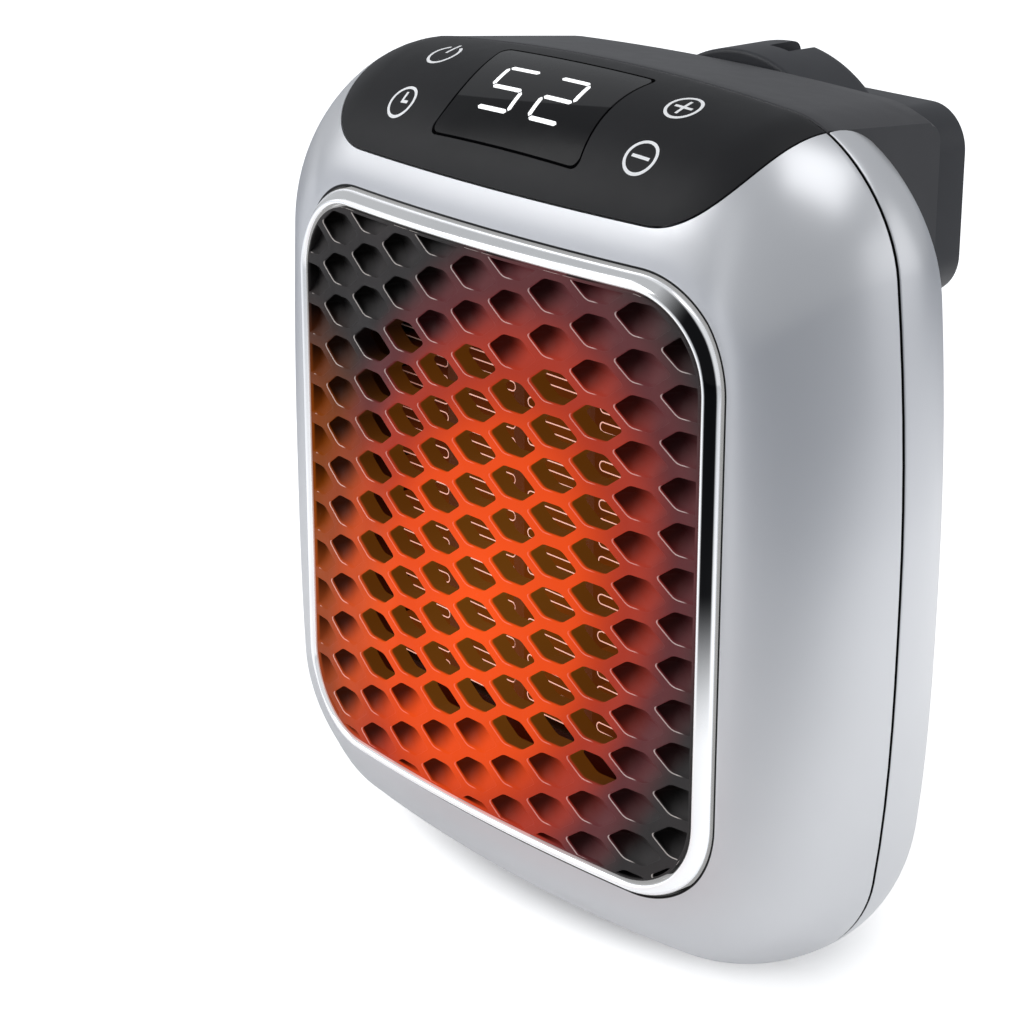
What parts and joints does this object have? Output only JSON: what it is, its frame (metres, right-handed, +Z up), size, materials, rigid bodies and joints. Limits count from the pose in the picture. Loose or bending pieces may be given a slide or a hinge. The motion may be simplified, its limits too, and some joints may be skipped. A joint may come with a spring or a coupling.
{
  "type": "plug-in fan heater",
  "caption": "Small plug-in fan heater: rounded clam-shell body, hexagonal front grille in a bright ring, touch panel with number display on top, swivelling two-blade plug at the back.",
  "frame": {"origin": "middle of the foot's flat underside, on which the heater stands", "axes": "+X to the right seen from the front, +Y to the back, where the plug is, +Z up; the grille faces -Y"},
  "size_m": [0.1352, 0.1052, 0.1446],
  "materials": {
    "silver": "pearl silver lacquer on moulded plastic, satin gloss",
    "charcoal": "satin charcoal moulded plastic",
    "black_gloss": "gloss black display lens",
    "chrome": "bright plated ring",
    "grille_grey": "satin dark grey moulded grille",
    "heat_plastic": "dark heat-proof moulding",
    "ceramic": "wrapped ceramic heating bar, unglazed",
    "fin_metal": "bare folded strip",
    "contact_metal": "stamped, bright",
    "steel": "zinc plated",
    "duct_plastic": "matt grey moulding",
    "fan_plastic": "satin dark moulding",
    "board": "green circuit board",
    "black_plastic": "black component plastic",
    "relay_plastic": "blue relay case",
    "capacitor_plastic": "yellow capacitor case"
  },
  "bodies": {
    "housing": {"front_shell": "silver", "rear_shell": "silver", "rear_top_cover": "charcoal", "control_panel": "charcoal", "display_window": "black_gloss", "grille_ring": "chrome", "front_grille": "grille_grey", "shell_screw_1": "steel", "shell_screw_2": "steel", "shell_screw_3": "steel", "shell_screw_4": "steel", "cover_screw_1": "steel", "cover_screw_2": "steel", "switch_body": "black_plastic", "heater_frame": "heat_plastic", "heating_bar_1": "ceramic", "heating_bar_2": "ceramic", "heating_bar_3": "ceramic", "fin_bank_1": "fin_metal", "fin_bank_2": "fin_metal", "fin_bank_3": "fin_metal", "fin_bank_4": "fin_metal", "heater_terminal_1": "contact_metal", "heater_terminal_2": "contact_metal", "thermal_cutout": "steel", "fan_duct": "duct_plastic", "motor_body": "steel", "control_board": "board", "display_module": "black_plastic", "touch_spring_power": "steel", "touch_spring_timer": "steel", "touch_spring_plus": "steel", "touch_spring_minus": "steel", "board_screw_1": "steel", "board_screw_2": "steel", "power_board": "board", "power_relay": "relay_plastic", "film_capacitor": "capacitor_plastic", "control_chip": "black_plastic", "smoothing_capacitor": "black_plastic", "contact_board": "board", "contact_ring_inner": "contact_metal", "contact_ring_outer": "contact_metal"},
    "fan": {"fan_rotor": "fan_plastic", "motor_shaft": "steel"},
    "rocker": {"power_rocker": "black_plastic"},
    "plug": {"swivel_turret": "charcoal", "swivel_retainer": "steel", "friction_washer": "steel", "contact_brush_inner": "contact_metal", "contact_brush_outer": "contact_metal", "plug_head": "charcoal", "plug_face": "charcoal", "plug_blade_1": "contact_metal", "plug_blade_2": "contact_metal", "plug_screw_1": "steel", "plug_screw_2": "steel"}
  },
  "joints": [
    {"name": "plug_swivel", "type": "hinge", "parent": "housing", "child": "plug", "pos_m": [0, 0.0205, 0.11595], "axis": [0, 1, 0], "range_deg": [-90, 90]},
    {"name": "fan_spin", "type": "hinge", "parent": "housing", "child": "fan", "pos_m": [0, -0.0095, 0.06915], "axis": [0, 1, 0], "continuous": true},
    {"name": "power_rocker_tilt", "type": "hinge", "parent": "housing", "child": "rocker", "pos_m": [0, 0.0137, 0.02765], "axis": [0, 0, 1], "range_deg": [-20, 0]}
  ]
}
